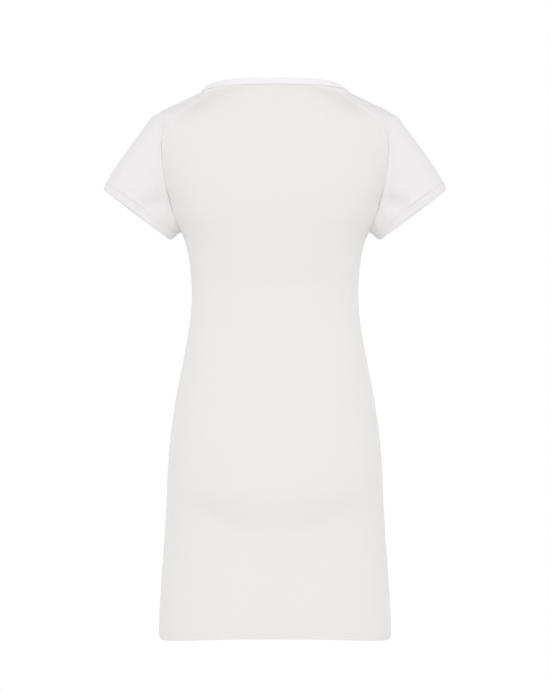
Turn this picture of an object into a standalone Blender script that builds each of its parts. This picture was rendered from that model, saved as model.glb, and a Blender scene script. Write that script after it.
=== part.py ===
"""A short-sleeved T-shirt dress in white cotton jersey, filled out as it is worn.

The cloth is five pieces, each a closed wall: a back, a front, two raglan sleeves that reach the
neck, and a neck band. Metres, +Z up, the front faces -Y. The origin is midway between the two
shoulders, at the height where their ridges meet the neck, because the shoulders hold the dress up.
"""

from collections import namedtuple

import bpy
import numpy as np

# Cloth
WALL = 0.0015            # thickness of the jersey wall
SEAM_GAP = 0.0003        # gap between two pieces that are sewn together
HEM_RELIEF = 0.0005      # how far a turned hem stands out from the cloth above it
HEM_CURL = 0.0014        # how far the edge of a hem curls in

# Body of the dress
SIDE_HEM_Z = -0.8540     # lower edge at the side seams
BACK_HEM_RISE = 0.0100   # the seat lifts the back hem by this at the centre
FRONT_HEM_RISE = 0.0040
HEM_DEPTH = 0.0100       # the turned hem of the skirt
HIP_Z = -0.6600          # where the dress is fullest behind
UNDERARM_Z = -0.2220     # the underarm point, where side seam and sleeve meet

# Neck
NECK_SIDE_Z = -0.0035    # the neckline where it crosses the shoulder ridge
BACK_NECK_RISE = 0.0050  # the centre back lies this much above that
FRONT_NECK_DROP = 0.0915
BACK_SEAM_ANGLE = 32.0   # degrees round the neck, from the ridge to the top of a back raglan seam
FRONT_SEAM_ANGLE = 32.0
BAND_WIDTH = 0.0095
BAND_WALL = 0.0021       # the band is folded double
BAND_PROUD = 0.0003
BAND_STAND = 0.70        # how far the band turns from the cloth's own slope towards upright

# Sleeves
CUFF_TOP = (0.2670, -0.1580)     # outer corner of the cuff, across and up
CUFF_BOTTOM = (0.1620, -0.2372)  # corner of the cuff under the arm
CUFF_HALF_DEPTH = 0.0390         # half of the cuff's front-to-back size
CUFF_HEM_DEPTH = 0.0125
SLEEVE_FULLNESS = 0.0048         # how far the sleeve rounds out past straight lines to the cuff

# Cells of the pieces' meshes
PANEL_COLUMNS = 20
SKIRT_ROWS = 18          # from the hem's stitching up to the underarm
SEAM_ROWS = 14           # along a raglan seam, from the underarm to the neck
ARM_ROWS = 8             # of those, the ones below the fold at the shoulder's end
NECK_COLUMNS = 6         # along a sleeve's own stretch of the neckline
SHOULDER_ROWS = 5        # from the fold at the shoulder's end in to the raglan seam
SLEEVE_ROWS = 6          # from that fold out to the cuff's stitching

CLOTH_WHITE = (0.86, 0.85, 0.85, 1.0)
BAND_WHITE = (0.88, 0.87, 0.88, 1.0)
CLOTH_ROUGHNESS = 0.85

# Level sections of the form that carries the cloth. A power of 2 is an ellipse, and more is squarer.
Section = namedtuple("Section", "z half_width back front back_power front_power")
SECTIONS = [
    Section(0.004, 0.1035, 0.0600, 0.0280, 2.25, 2.00),
    Section(-0.003, 0.1130, 0.0635, 0.0320, 2.25, 2.00),
    Section(-0.022, 0.1475, 0.0720, 0.0420, 2.25, 2.10),
    Section(-0.040, 0.1835, 0.0810, 0.0510, 2.28, 2.18),
    Section(-0.047, 0.1938, 0.0840, 0.0550, 2.30, 2.20),
    Section(-0.060, 0.1970, 0.0890, 0.0620, 2.34, 2.25),
    Section(-0.100, 0.1890, 0.1000, 0.0800, 2.42, 2.33),
    Section(-0.150, 0.1755, 0.1040, 0.0960, 2.48, 2.33),
    Section(-0.200, 0.1570, 0.1010, 0.1075, 2.46, 2.30),
    Section(-0.222, 0.1460, 0.0978, 0.1095, 2.43, 2.29),
    Section(-0.245, 0.1378, 0.0938, 0.1095, 2.40, 2.28),
    Section(-0.273, 0.1325, 0.0885, 0.1065, 2.36, 2.28),
    Section(-0.317, 0.1290, 0.0820, 0.1010, 2.30, 2.30),
    Section(-0.361, 0.1320, 0.0825, 0.0995, 2.28, 2.32),
    Section(-0.426, 0.1430, 0.0950, 0.1040, 2.25, 2.36),
    Section(-0.490, 0.1550, 0.1120, 0.1085, 2.25, 2.38),
    Section(-0.550, 0.1630, 0.1258, 0.1110, 2.28, 2.40),
    Section(-0.610, 0.1673, 0.1303, 0.1120, 2.30, 2.42),
    Section(-0.660, 0.1700, 0.1237, 0.1115, 2.36, 2.44),
    Section(-0.700, 0.1725, 0.1197, 0.1110, 2.40, 2.45),
    Section(-0.760, 0.1765, 0.1172, 0.1110, 2.45, 2.48),
    Section(-0.846, 0.1800, 0.1162, 0.1120, 2.49, 2.50),
    Section(-0.860, 0.1750, 0.1160, 0.1120, 2.50, 2.50),
]

# Seams and folds as seen from behind or in front: across from the centre, and up. Each starts low,
# and a raglan seam's first point follows the underarm point.
SeamPoint = namedtuple("SeamPoint", "across z")
BACK_RAGLAN = [
    SeamPoint(0.1505, -0.2110),
    SeamPoint(0.1600, -0.1840),
    SeamPoint(0.1700, -0.1370),
    SeamPoint(0.1740, -0.0920),
    SeamPoint(0.1680, -0.0660),
    SeamPoint(0.1530, -0.0450),
    SeamPoint(0.1290, -0.0240),
    SeamPoint(0.1080, -0.0085),
]
FRONT_RAGLAN = [
    SeamPoint(0.1490, -0.2080),
    SeamPoint(0.1545, -0.1700),
    SeamPoint(0.1530, -0.1320),
    SeamPoint(0.1420, -0.1000),
    SeamPoint(0.1220, -0.0730),
]
# The fold where the sleeve drops off the end of the shoulder, between its seam end and the ridge.
BACK_FOLD = [SeamPoint(0.1775, -0.0780), SeamPoint(0.1815, -0.0650), SeamPoint(0.1865, -0.0530)]
FRONT_FOLD = [SeamPoint(0.1640, -0.1050), SeamPoint(0.1750, -0.0820), SeamPoint(0.1845, -0.0600)]
FOLD_TOP_Z = -0.0430


def smooth_through(knots, values):
    """A function through the knots: cubic between two of them, and it never overshoots a value."""
    order = np.argsort(knots)
    x = np.asarray(knots, float)[order]
    y = np.asarray(values, float)[order]
    step = np.diff(x)
    slope = np.diff(y) / step
    tangent = np.zeros_like(y)
    tangent[0], tangent[-1] = slope[0], slope[-1]
    before, after = slope[:-1], slope[1:]
    same_way = before * after > 0
    weight_1 = 2 * step[1:] + step[:-1]
    weight_2 = step[1:] + 2 * step[:-1]
    mean = (weight_1 + weight_2) / (weight_1 / np.where(same_way, before, 1.0)
                                    + weight_2 / np.where(same_way, after, 1.0))
    tangent[1:-1] = np.where(same_way, mean, 0.0)

    def curve(at):
        at = np.clip(at, x[0], x[-1])
        k = np.clip(np.searchsorted(x, at, side="right") - 1, 0, len(step) - 1)
        h = step[k]
        t = (at - x[k]) / h
        return ((1 + 2 * t) * (1 - t) ** 2 * y[k] + t * (1 - t) ** 2 * h * tangent[k]
                + t ** 2 * (3 - 2 * t) * y[k + 1] + t ** 2 * (t - 1) * h * tangent[k + 1])

    return curve


HEIGHTS = [section.z for section in SECTIONS]
HALF_WIDTH = smooth_through(HEIGHTS, [section.half_width for section in SECTIONS])
BACK_DEPTH = smooth_through(HEIGHTS, [section.back for section in SECTIONS])
FRONT_DEPTH = smooth_through(HEIGHTS, [section.front for section in SECTIONS])
BACK_POWER = smooth_through(HEIGHTS, [section.back_power for section in SECTIONS])
FRONT_POWER = smooth_through(HEIGHTS, [section.front_power for section in SECTIONS])


def on_form(angle, z):
    """The form's point at a height and at an angle round it: 0 at the left side, +90 degrees at the
    centre back, -90 degrees at the centre front. Each level section is half of one rounded box
    behind and half of another in front: |x / width|^power + |y / depth|^power = 1."""
    behind = np.sin(angle) >= 0
    power = np.where(behind, BACK_POWER(z), FRONT_POWER(z))
    depth = np.where(behind, BACK_DEPTH(z), FRONT_DEPTH(z))
    cos, sin = np.cos(angle), np.sin(angle)
    x = HALF_WIDTH(z) * np.sign(cos) * np.abs(cos) ** (2 / power)
    y = depth * np.sign(sin) * np.abs(sin) ** (2 / power)
    return np.stack([x, y, z + 0 * x], axis=-1)


def angle_at(across, z, behind):
    """The angle round the form of the point that lies this far from the centre at this height."""
    power = BACK_POWER(z) if behind else FRONT_POWER(z)
    share = np.clip(across / HALF_WIDTH(z), 0.0, 1.0)
    turn = np.arccos(share ** (power / 2))
    return turn if behind else -turn


def neckline(turn):
    """Angle and height of the neckline, by the turn round the neck from a shoulder's ridge: to +90
    degrees at the centre back and -90 at the centre front. Behind it is nearly level, and in front
    it is half of an ellipse, seen from the front."""
    behind = np.sin(turn) >= 0
    back_z = NECK_SIDE_Z + BACK_NECK_RISE * (1 - np.cos(turn) ** 6)
    front_z = NECK_SIDE_Z - FRONT_NECK_DROP * np.abs(np.sin(turn))
    across = HALF_WIDTH(NECK_SIDE_Z) * np.abs(np.cos(turn))
    front_angle = angle_at(across, front_z, behind=False)
    front_angle = np.where(np.cos(turn) >= 0, front_angle, -np.pi - front_angle)
    return np.where(behind, turn, front_angle), np.where(behind, back_z, front_z)


def raglan(table, top_turn, behind):
    """A function of a share from 0, under the arm, to 1, at the neck: angle and height of a raglan
    seam, with even steps along its length on the form."""
    top_angle, top_z = neckline(np.array(top_turn if behind else -top_turn))
    top_across = abs(float(on_form(top_angle, top_z)[0]))
    across = [float(HALF_WIDTH(UNDERARM_Z)), *(point.across for point in table), top_across]
    z = [UNDERARM_Z, *(point.z for point in table), float(top_z)]
    chord = np.concatenate([[0.0], np.cumsum(np.hypot(np.diff(across), np.diff(z)))])
    fine = np.linspace(0, chord[-1], 400)
    fine_z = smooth_through(chord, z)(fine)
    fine_angle = angle_at(smooth_through(chord, across)(fine), fine_z, behind)
    fine_angle[0], fine_angle[-1] = 0.0, float(top_angle)
    length = lengths_along(on_form(fine_angle, fine_z))
    share = length / length[-1]
    return lambda s: (np.interp(s, share, fine_angle), np.interp(s, share, fine_z))


def lengths_along(points):
    """The length run so far at each point of a line."""
    return np.concatenate([[0.0], np.cumsum(np.linalg.norm(np.diff(points, axis=0), axis=1))])


def even_turns(columns):
    """Shares of the half turn from side to side that give columns of even width at the hip."""
    turn = np.linspace(0, np.pi, 721)
    length = lengths_along(on_form(turn, np.full_like(turn, HIP_Z)))
    return np.interp(np.linspace(0, 1, columns + 1), length / length[-1], turn) / np.pi


BACK_SEAM = raglan(BACK_RAGLAN, np.radians(BACK_SEAM_ANGLE), behind=True)
FRONT_SEAM = raglan(FRONT_RAGLAN, np.radians(FRONT_SEAM_ANGLE), behind=False)


def panel(behind):
    """The back or the front as a grid of points, from the hem up and, seen from outside, from left
    to right. Below the underarm its rows are level. Above, they run from seam to seam and fan out to
    the neckline."""
    side = 1 if behind else -1
    share = even_turns(PANEL_COLUMNS)
    hem_z = SIDE_HEM_Z + (BACK_HEM_RISE if behind else FRONT_HEM_RISE) * np.sin(np.pi * share) ** 2
    stitch = HEM_DEPTH / (UNDERARM_Z - SIDE_HEM_Z)
    hem = stitch * np.array([0.0, 0.3, 0.85])
    up = np.concatenate([hem, np.linspace(stitch, 1, SKIRT_ROWS + 1)])[:, None]
    skirt = on_form(side * np.pi * share + 0 * up, hem_z + (UNDERARM_Z - hem_z) * up)
    skirt[:3] += HEM_RELIEF * outward(skirt)[:3]
    skirt[0] -= HEM_CURL * outward(skirt)[0]

    edge_angle, edge_z = (BACK_SEAM if behind else FRONT_SEAM)(np.linspace(0, 1, SEAM_ROWS + 1))
    top_turn = np.radians(BACK_SEAM_ANGLE if behind else FRONT_SEAM_ANGLE)
    turn = top_turn + (np.pi - 2 * top_turn) * np.linspace(0, 1, PANEL_COLUMNS + 1)
    top_angle, top_z = neckline(side * turn)
    edge = np.abs(edge_angle)[1:, None]
    top_share = (np.abs(top_angle) - edge[-1]) / (np.pi - 2 * edge[-1])
    climb = ((edge_z - UNDERARM_Z) / (edge_z[-1] - UNDERARM_Z))[1:, None]
    angle = edge + (np.pi - 2 * edge) * (share * (1 - climb) + top_share * climb)
    bodice = on_form(side * angle, UNDERARM_Z + (top_z - UNDERARM_Z) * climb)
    grid = np.concatenate([skirt, bodice])
    return grid if behind else grid[:, ::-1]


def outward(grid):
    """Unit normals of a grid of points on a form that is round about the vertical."""
    across = np.gradient(grid, axis=1)
    up = np.gradient(grid, axis=0)
    normal = np.cross(across, up)
    normal /= np.linalg.norm(normal, axis=-1, keepdims=True)
    away = np.sign((normal[..., :2] * grid[..., :2]).sum(-1, keepdims=True))
    return normal * away


def shoulder_fold():
    """The fold's points on the form, from the back seam over the ridge to the front seam, with as
    many columns as the stretch of seam and neckline that lies above it."""
    share = ARM_ROWS / SEAM_ROWS
    sides = []
    for seam, table, behind in ((BACK_SEAM, BACK_FOLD, True), (FRONT_SEAM, FRONT_FOLD, False)):
        end_angle, end_z = seam(share)
        across = np.array([point.across for point in table])
        z = np.array([point.z for point in table])
        angle = np.concatenate([[end_angle], angle_at(across, z, behind), [0.0]])
        z = np.concatenate([[end_z], z, [FOLD_TOP_Z]])
        sides.append((angle, z))
    (back_angle, back_z), (front_angle, front_z) = sides
    angle = np.concatenate([back_angle, front_angle[::-1][1:]])
    z = np.concatenate([back_z, front_z[::-1][1:]])
    length = lengths_along(on_form(angle, z))
    columns = 2 * (SEAM_ROWS - ARM_ROWS) + NECK_COLUMNS
    middle = length[len(BACK_FOLD) + 1]
    at = np.concatenate([np.linspace(0, middle, columns // 2 + 1),
                         np.linspace(middle, length[-1], columns // 2 + 1)[1:]])
    return smooth_through(length, angle)(at), smooth_through(length, z)(at)


def sleeve_shoulder():
    """The part of a sleeve that lies on the shoulder, a lens between the fold and the raglan seams
    with the neckline, as a grid from the fold in."""
    fold_angle, fold_z = shoulder_fold()
    shares = np.linspace(0, 1, SEAM_ROWS + 1)[ARM_ROWS:]
    back_angle, back_z = BACK_SEAM(shares)
    front_angle, front_z = FRONT_SEAM(shares)
    turn = np.linspace(np.radians(BACK_SEAM_ANGLE), -np.radians(FRONT_SEAM_ANGLE), NECK_COLUMNS + 1)
    neck_angle, neck_z = neckline(turn)
    edge_angle = np.concatenate([back_angle, neck_angle[1:-1], front_angle[::-1]])
    edge_z = np.concatenate([back_z, neck_z[1:-1], front_z[::-1]])
    inward = np.linspace(0, 1, SHOULDER_ROWS + 1)[:, None]
    return on_form(fold_angle + (edge_angle - fold_angle) * inward,
                   fold_z + (edge_z - fold_z) * inward)


def sleeve_tube(fold):
    """The part of a sleeve round the arm, as a closed grid from the underarm up the back, over the
    fold and down the front. Each line runs from the armhole to an even share of the cuff's ellipse,
    rounded out by the sleeve's fullness."""
    shares = np.linspace(0, 1, SEAM_ROWS + 1)[:ARM_ROWS]
    low_back = on_form(*BACK_SEAM(shares))
    low_front = on_form(*FRONT_SEAM(shares))[::-1]
    start = np.concatenate([low_back, fold, low_front])
    half = ARM_ROWS + len(fold) // 2
    length = lengths_along(start)
    back_share = length[:half + 1] / length[half] / 2
    front_share = 0.5 + (length[half + 1:] - length[half]) / (length[-1] - length[half]) / 2
    round_share = np.concatenate([back_share, front_share])

    top, bottom = np.array(CUFF_TOP), np.array(CUFF_BOTTOM)
    middle, reach = (top + bottom) / 2, (top - bottom) / 2
    fine = np.linspace(0, 2 * np.pi, 721)
    ellipse = np.stack([-np.cos(fine) * np.linalg.norm(reach), CUFF_HALF_DEPTH * np.sin(fine)], 1)
    along = lengths_along(ellipse)
    turn = np.interp(round_share, along / along[-1], fine)[:, None]
    spoke = np.concatenate([-np.cos(turn) * reach[0], np.sin(turn) * CUFF_HALF_DEPTH,
                            -np.cos(turn) * reach[1]], axis=1)
    cuff = spoke + [middle[0], 0, middle[1]]
    away = spoke / np.linalg.norm(spoke, axis=1, keepdims=True)

    reach_out = np.linalg.norm(cuff - start, axis=1)
    hem_share = np.minimum(CUFF_HEM_DEPTH, 0.55 * reach_out) / reach_out
    rows = np.linspace(0, 1, SLEEVE_ROWS + 1)[:, None] * (1 - hem_share)
    hem = [1 - left * hem_share for left in (0.85, 0.2, 0.0)]
    rows = np.concatenate([rows, hem])[..., None]
    fullness = SLEEVE_FULLNESS * np.sin(turn / 2)[None] ** 2
    round_out = fullness * (1 - (1 - rows) ** 2) * (1 - rows ** 8)
    relief = np.zeros_like(rows)
    relief[-3:] = HEM_RELIEF * np.minimum(reach_out / CUFF_HEM_DEPTH / 3, 1)[:, None]
    relief[-1] -= HEM_CURL
    return start + (cuff - start) * rows + away * (round_out + relief)


def cells(grid, closed=False):
    """The grid's points and four-sided faces, wound so that they face out of the dress."""
    rows, columns = grid.shape[:2]
    number = np.arange(rows * columns).reshape(rows, columns)
    if closed:
        number = np.concatenate([number, number[:, :1]], axis=1)
    faces = np.stack([number[:-1, :-1], number[:-1, 1:], number[1:, 1:], number[1:, :-1]], -1)
    return grid.reshape(-1, 3), faces.reshape(-1, 4)


def joined(*sheets):
    """Sheets of points and faces as one, with points that coincide made one, and with faces that
    lose a side there made triangles."""
    points = np.concatenate([sheet[0] for sheet in sheets])
    offsets = np.cumsum([0] + [len(sheet[0]) for sheet in sheets[:-1]])
    faces = np.concatenate([sheet[1] + offset for sheet, offset in zip(sheets, offsets)])
    key = np.round(points * 1e6).astype(np.int64)
    _, first, same = np.unique(key, axis=0, return_index=True, return_inverse=True)
    same = same.reshape(-1)
    kept = []
    for face in same[faces]:
        corners = [c for k, c in enumerate(face) if c != face[k - 1]]
        if len(corners) > 2:
            kept.append(corners)
    return points[first], kept


def face_normal(points, face):
    """Unit normal of a face, from its diagonals."""
    a, b, c, d = points[face[0]], points[face[1]], points[face[2]], points[face[-1]]
    normal = np.cross(c - a, d - b) if len(face) > 3 else np.cross(b - a, c - a)
    return normal / np.linalg.norm(normal)


def triangles(points, faces):
    """Four-sided faces cut in two along their shorter diagonal."""
    cut = []
    for face in faces:
        if len(face) == 3:
            cut.append(face)
            continue
        a, b, c, d = face
        if np.linalg.norm(points[a] - points[c]) < np.linalg.norm(points[b] - points[d]):
            cut += [[a, b, c], [a, c, d]]
        else:
            cut += [[a, b, d], [b, c, d]]
    return cut


class Garment:
    """Sheets that share their seam points, so that walls can meet there at one common angle."""

    def __init__(self, sheets):
        self.sheets = sheets
        self.normals = {}
        self.inward = {}
        for name, (points, faces) in sheets.items():
            for face in faces:
                normal = face_normal(points, face)
                for corner in face:
                    self.normals.setdefault(self.key(points[corner]), []).append(normal)
            for corner, into in self.rim_directions(points, faces).items():
                self.inward.setdefault(self.key(points[corner]), {})[name] = into

    @staticmethod
    def key(point):
        return tuple(np.round(point * 1e5).astype(int))

    @staticmethod
    def rim_edges(faces):
        """The edges that only one face has, each in that face's direction."""
        edges = [(face[k - 1], face[k]) for face in faces for k in range(len(face))]
        both = set(edges)
        return [(a, b) for a, b in edges if (b, a) not in both]

    def rim_directions(self, points, faces):
        """At each corner of a sheet's edge, the direction into the sheet, long enough that a step
        of that length moves both edges there by one."""
        owner = {(face[k - 1], face[k]): face for face in faces for k in range(len(face))}
        found = {}
        for a, b in self.rim_edges(faces):
            edge = (points[b] - points[a]) / np.linalg.norm(points[b] - points[a])
            into = np.cross(face_normal(points, owner[a, b]), edge)
            found.setdefault(a, []).append(into)
            found.setdefault(b, []).append(into)
        result = {}
        for corner, steps in found.items():
            mean = np.sum(steps, axis=0)
            mean /= np.linalg.norm(mean)
            result[corner] = mean / max(np.dot(mean, steps[0]), 0.4)
        return result

    def corner_normal(self, point):
        """The common normal at a point, and how much longer than the wall its step is."""
        normals = self.normals[self.key(point)]
        mean = np.sum(normals, axis=0)
        mean /= np.linalg.norm(mean)
        return mean, 1 / max(min(np.dot(mean, normal) for normal in normals), 0.45)

    def seam_step(self, name, point):
        """How far a piece draws back from the seam at a point, so that half of the gap is there."""
        around = self.inward.get(self.key(point), {})
        mine = around.get(name)
        if mine is None:
            return np.zeros(3)
        unit = mine / np.linalg.norm(mine)
        others = [other / np.linalg.norm(other) for key, other in around.items() if key != name]
        spread = min([np.linalg.norm(unit - other) / 2 for other in others], default=1.0)
        return mine * SEAM_GAP / 2 / max(spread, 0.35)

    def wall(self, name):
        """A sheet as a closed wall: its outside, its inside and the rim between them. The rim's
        cells are cut from the lower outer corner, so that two pieces match along their seam."""
        points, faces = self.sheets[name]
        outer = np.array([point + self.seam_step(name, point) for point in points])
        steps = [self.corner_normal(point) for point in points]
        inner = outer - WALL * np.array([normal * length for normal, length in steps])
        count = len(points)
        outside = triangles(points, faces)
        inside = [[corner + count for corner in reversed(face)] for face in outside]
        rim = []
        for a, b in self.rim_edges(faces):
            if tuple(points[a][::-1]) < tuple(points[b][::-1]):
                rim += [[b, a, b + count], [a, a + count, b + count]]
            else:
                rim += [[b, a, a + count], [b, a + count, b + count]]
        return np.concatenate([outer, inner]), outside + inside + rim


def neck_loop():
    """The neckline's points all round, from the left shoulder's ridge by way of the back."""
    back, front = np.radians(BACK_SEAM_ANGLE), np.radians(FRONT_SEAM_ANGLE)
    left = np.linspace(-front, back, NECK_COLUMNS + 1)
    behind = np.linspace(back, np.pi - back, PANEL_COLUMNS + 1)
    right = np.linspace(np.pi - back, np.pi + front, NECK_COLUMNS + 1)
    before = np.linspace(np.pi + front, 2 * np.pi - front, PANEL_COLUMNS + 1)
    turn = np.concatenate([left[:-1], behind[:-1], right[:-1], before[:-1]])
    return on_form(*neckline(turn))


def neck_band(garment):
    """The band as a ring: a folded strip that starts on the neckline along the cloth's own slope and
    turns up from there. Its line is a parabola from one direction to the other."""
    loop = neck_loop()
    tangent = np.roll(loop, -1, axis=0) - np.roll(loop, 1, axis=0)
    tangent /= np.linalg.norm(tangent, axis=1, keepdims=True)
    normal = np.array([garment.corner_normal(point)[0] for point in loop])
    normal -= (normal * tangent).sum(1, keepdims=True) * tangent
    normal /= np.linalg.norm(normal, axis=1, keepdims=True)
    slope = np.cross(normal, tangent)
    slope *= np.sign(slope[:, 2:])
    upright = np.array([0.0, 0.0, 1.0]) - tangent[:, 2:] * tangent
    stand = slope * (1 - BAND_STAND) + upright * BAND_STAND
    stand /= np.linalg.norm(stand, axis=1, keepdims=True)

    half = (BAND_WIDTH - SEAM_GAP / 2) / 2
    rows = []
    profile = [(0.0, 0.0), (0.5, 0.12), (0.88, 0.0), (1.0, -0.5), (0.88, -1.0), (0.5, -1.0), (0.0, -1.0)]
    for height, depth in profile:
        line = (SEAM_GAP / 2 * slope + slope * half * (2 * height - height ** 2)
                + stand * half * height ** 2)
        along = slope * (1 - height) + stand * height
        out = np.cross(tangent, along)
        out *= np.sign((out * normal).sum(1, keepdims=True))
        out /= np.linalg.norm(out, axis=1, keepdims=True)
        rows.append(loop + line + out * (BAND_PROUD + BAND_WALL * depth))
    ring = np.array(rows + rows[:1])
    return cells(ring, closed=True)


def cloth_material(name, colour):
    """A matt white cloth."""
    material = bpy.data.materials.new(name)
    material.use_nodes = True
    shader = material.node_tree.nodes["Principled BSDF"]
    shader.inputs["Base Color"].default_value = colour
    shader.inputs["Roughness"].default_value = CLOTH_ROUGHNESS
    shader.inputs["Metallic"].default_value = 0.0
    material.diffuse_color = colour
    return material


def add_piece(name, points, faces, material):
    """A named object from points and faces, shaded smooth but for its edges."""
    mesh = bpy.data.meshes.new(name)
    mesh.from_pydata([tuple(point) for point in points], [], [list(face) for face in faces])
    mesh.materials.append(material)
    mesh.shade_smooth()
    mesh.set_sharp_from_angle(angle=np.radians(40))
    piece = bpy.data.objects.new(name, mesh)
    bpy.context.scene.collection.objects.link(piece)
    return piece


def mirrored(sheet):
    """The same sheet on the wearer's other side."""
    points, faces = sheet
    return points * [-1, 1, 1], [list(reversed(face)) for face in faces]


def main():
    for old in list(bpy.data.objects):
        bpy.data.objects.remove(old, do_unlink=True)
    shoulder = sleeve_shoulder()
    tube = sleeve_tube(shoulder[0])
    sleeve = joined(cells(tube), cells(shoulder[:, ::-1]))
    garment = Garment({
        "back": joined(cells(panel(behind=True))),
        "front": joined(cells(panel(behind=False))),
        "sleeve_left": sleeve,
        "sleeve_right": mirrored(sleeve),
    })
    jersey = cloth_material("white_jersey", CLOTH_WHITE)
    for name in garment.sheets:
        add_piece(name, *garment.wall(name), jersey)
    band_points, band_faces = joined(neck_band(garment))
    add_piece("neck_band", band_points, band_faces, cloth_material("white_band", BAND_WHITE))


main()
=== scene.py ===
"""The looks of a short-sleeved T-shirt dress in white cotton jersey, filled out as it is worn.

Each panel of the dress is a thin sheet on the form that its solid has: the same sections, seams and
folds, on finer grids, with the turned hems, the seams' ridges, the sewing and the soft creases of the
real cloth. Metres, +Z up, the front faces -Y, and +X is the wearer's left.
"""

from collections import namedtuple

import bmesh
import bpy
import numpy as np
from mathutils import Matrix, Vector


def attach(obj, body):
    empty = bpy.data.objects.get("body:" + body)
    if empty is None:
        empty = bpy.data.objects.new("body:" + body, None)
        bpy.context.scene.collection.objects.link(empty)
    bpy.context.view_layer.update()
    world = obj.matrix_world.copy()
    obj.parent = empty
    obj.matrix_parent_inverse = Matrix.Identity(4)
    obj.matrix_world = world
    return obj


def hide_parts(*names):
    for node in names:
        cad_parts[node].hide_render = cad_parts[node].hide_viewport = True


MM = 0.001
SAME_PLACE = 1e-6        # points closer than this are one

# The form of the dress, as the solids have it
SIDE_HEM_Z = -0.8540
BACK_HEM_RISE = 0.0100
FRONT_HEM_RISE = 0.0040
HIP_Z = -0.6600
UNDERARM_Z = -0.2220
NECK_SIDE_Z = -0.0035
BACK_NECK_RISE = 0.0050
FRONT_NECK_DROP = 0.0915
NECK_SEAM_TURN = np.radians(32.0)
CUFF_TOP = (0.2670, -0.1580)
CUFF_BOTTOM = (0.1620, -0.2372)
CUFF_HALF_DEPTH = 0.0390
SLEEVE_FULLNESS = 0.0048
ARM_SHARE = 8 / 14       # share of a raglan seam below the fold at the shoulder's end

# Level sections: height, half width, depth behind and in front, power behind and in front
SECTIONS = np.array([
    (0.004, 0.1035, 0.0600, 0.0280, 2.25, 2.00),
    (-0.003, 0.1130, 0.0635, 0.0320, 2.25, 2.00),
    (-0.022, 0.1475, 0.0720, 0.0420, 2.25, 2.10),
    (-0.040, 0.1835, 0.0810, 0.0510, 2.28, 2.18),
    (-0.047, 0.1938, 0.0840, 0.0550, 2.30, 2.20),
    (-0.060, 0.1970, 0.0890, 0.0620, 2.34, 2.25),
    (-0.100, 0.1890, 0.1000, 0.0800, 2.42, 2.33),
    (-0.150, 0.1755, 0.1040, 0.0960, 2.48, 2.33),
    (-0.200, 0.1570, 0.1010, 0.1075, 2.46, 2.30),
    (-0.222, 0.1460, 0.0978, 0.1095, 2.43, 2.29),
    (-0.245, 0.1378, 0.0938, 0.1095, 2.40, 2.28),
    (-0.273, 0.1325, 0.0885, 0.1065, 2.36, 2.28),
    (-0.317, 0.1290, 0.0820, 0.1010, 2.30, 2.30),
    (-0.361, 0.1320, 0.0825, 0.0995, 2.28, 2.32),
    (-0.426, 0.1430, 0.0950, 0.1040, 2.25, 2.36),
    (-0.490, 0.1550, 0.1120, 0.1085, 2.25, 2.38),
    (-0.550, 0.1630, 0.1258, 0.1110, 2.28, 2.40),
    (-0.610, 0.1673, 0.1303, 0.1120, 2.30, 2.42),
    (-0.660, 0.1700, 0.1237, 0.1115, 2.36, 2.44),
    (-0.700, 0.1725, 0.1197, 0.1110, 2.40, 2.45),
    (-0.760, 0.1765, 0.1172, 0.1110, 2.45, 2.48),
    (-0.846, 0.1800, 0.1162, 0.1120, 2.49, 2.50),
    (-0.860, 0.1750, 0.1160, 0.1120, 2.50, 2.50),
])

# Seams and folds of the left side, as points across from the centre and up
BACK_RAGLAN = [(0.1505, -0.2110), (0.1600, -0.1840), (0.1700, -0.1370), (0.1740, -0.0920),
               (0.1680, -0.0660), (0.1530, -0.0450), (0.1290, -0.0240), (0.1080, -0.0085)]
FRONT_RAGLAN = [(0.1490, -0.2080), (0.1545, -0.1700), (0.1530, -0.1320), (0.1420, -0.1000),
                (0.1220, -0.0730)]
BACK_FOLD = [(0.1775, -0.0780), (0.1815, -0.0650), (0.1865, -0.0530)]
FRONT_FOLD = [(0.1640, -0.1050), (0.1750, -0.0820), (0.1845, -0.0600)]
FOLD_TOP_Z = -0.0430

# Cloth and sewing
CLOTH = 0.8 * MM         # thickness of the jersey
WALE = 0.8 * MM          # width of the knit's columns, and height of its stitches
COURSE = 0.6 * MM
RIB = 1.6 * MM           # width of a rib of the neck band
HEM_ROLL = 0.80 * MM     # radius of the fold at a hem's edge
FOLD_REACH = 2.2 * MM    # how far the fold at the shoulder's end is rounded, and how often
FOLD_PASSES = 6
END_PASSES = 50          # how often the tube is smoothed round the arm where the fold meets a seam
END_REACH = 6            # and over how many columns
HEM_STEP = 0.45 * MM     # how far a turned hem stands out from the single cloth above it
SKIRT_HEM = 9.2 * MM     # from the edge up to the upper row of stitches
CUFF_HEM = 11.5 * MM
SKIRT_FINE = 20 * MM     # how far up from the edge the closer rows of the grids reach
CUFF_FINE = 18 * MM
NEEDLE_GAUGE = 3.2 * MM  # between the two rows
STITCH_PITCH = 3.0 * MM
STITCH_LENGTH = 2.3 * MM
THREAD_RADIUS = 0.26 * MM
STITCH_DIP = 0.35 * MM   # how deep the thread pulls the cloth in
LOWER_DIP = 0.35         # share of that at the lower row
DIP_REACH = 0.6 * MM
SKIRT_PUFF = 0.15 * MM   # how far the single cloth puffs out above the hem's stitches
CUFF_PUFF = 1.4 * MM     # and beside the cuff's
PUFF_AWAY = 4.2 * MM     # from the stitches to the top of that swell
PUFF_REACH = 2.4 * MM
PUCKER = 0.16 * MM       # unevenness along the stitches
PUCKER_REACH = 4.0 * MM
CUFF_CORNER_LOW = 5.5 * MM   # how far the cuff's corners are rounded off, under the arm and above
CUFF_CORNER_TOP = 3.0 * MM
SEAM_GROOVE = 0.75 * MM  # how deep the cloth dips where two pieces are sewn together
GROOVE_REACH = 1.1 * MM
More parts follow.
